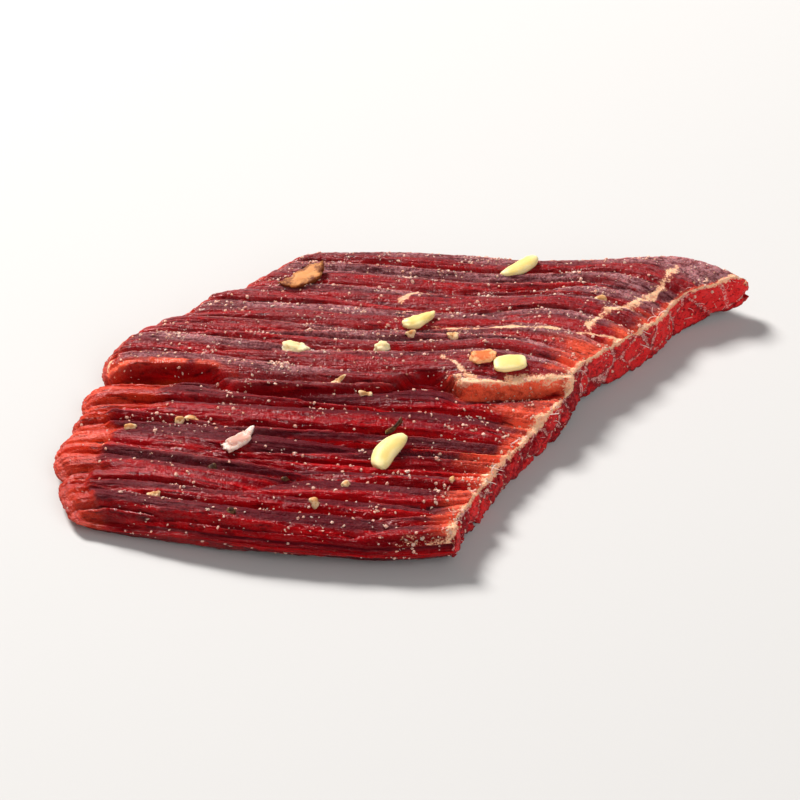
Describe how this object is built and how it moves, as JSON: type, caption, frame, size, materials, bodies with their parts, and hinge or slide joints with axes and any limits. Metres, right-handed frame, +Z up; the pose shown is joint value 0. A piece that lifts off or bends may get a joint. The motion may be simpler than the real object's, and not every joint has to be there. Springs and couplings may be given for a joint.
{
  "type": "beef jerky strip",
  "caption": "Slice of dried beef cut across its grain, with ridged muscle fibre, a torn end and seeds stuck on.",
  "frame": {"origin": "bottom centre of the slice's bounding box, on the table it lies on", "axes": "+X along the grain towards the knife cut, +Y across the grain away from the front edge, +Z up"},
  "size_m": [0.0568, 0.044, 0.0059],
  "materials": {
    "dried_beef": "dry and slightly glossy, dark red with a paler rim"
  },
  "bodies": {
    "root": {"jerky_strip": "dried_beef"}
  },
  "joints": []
}
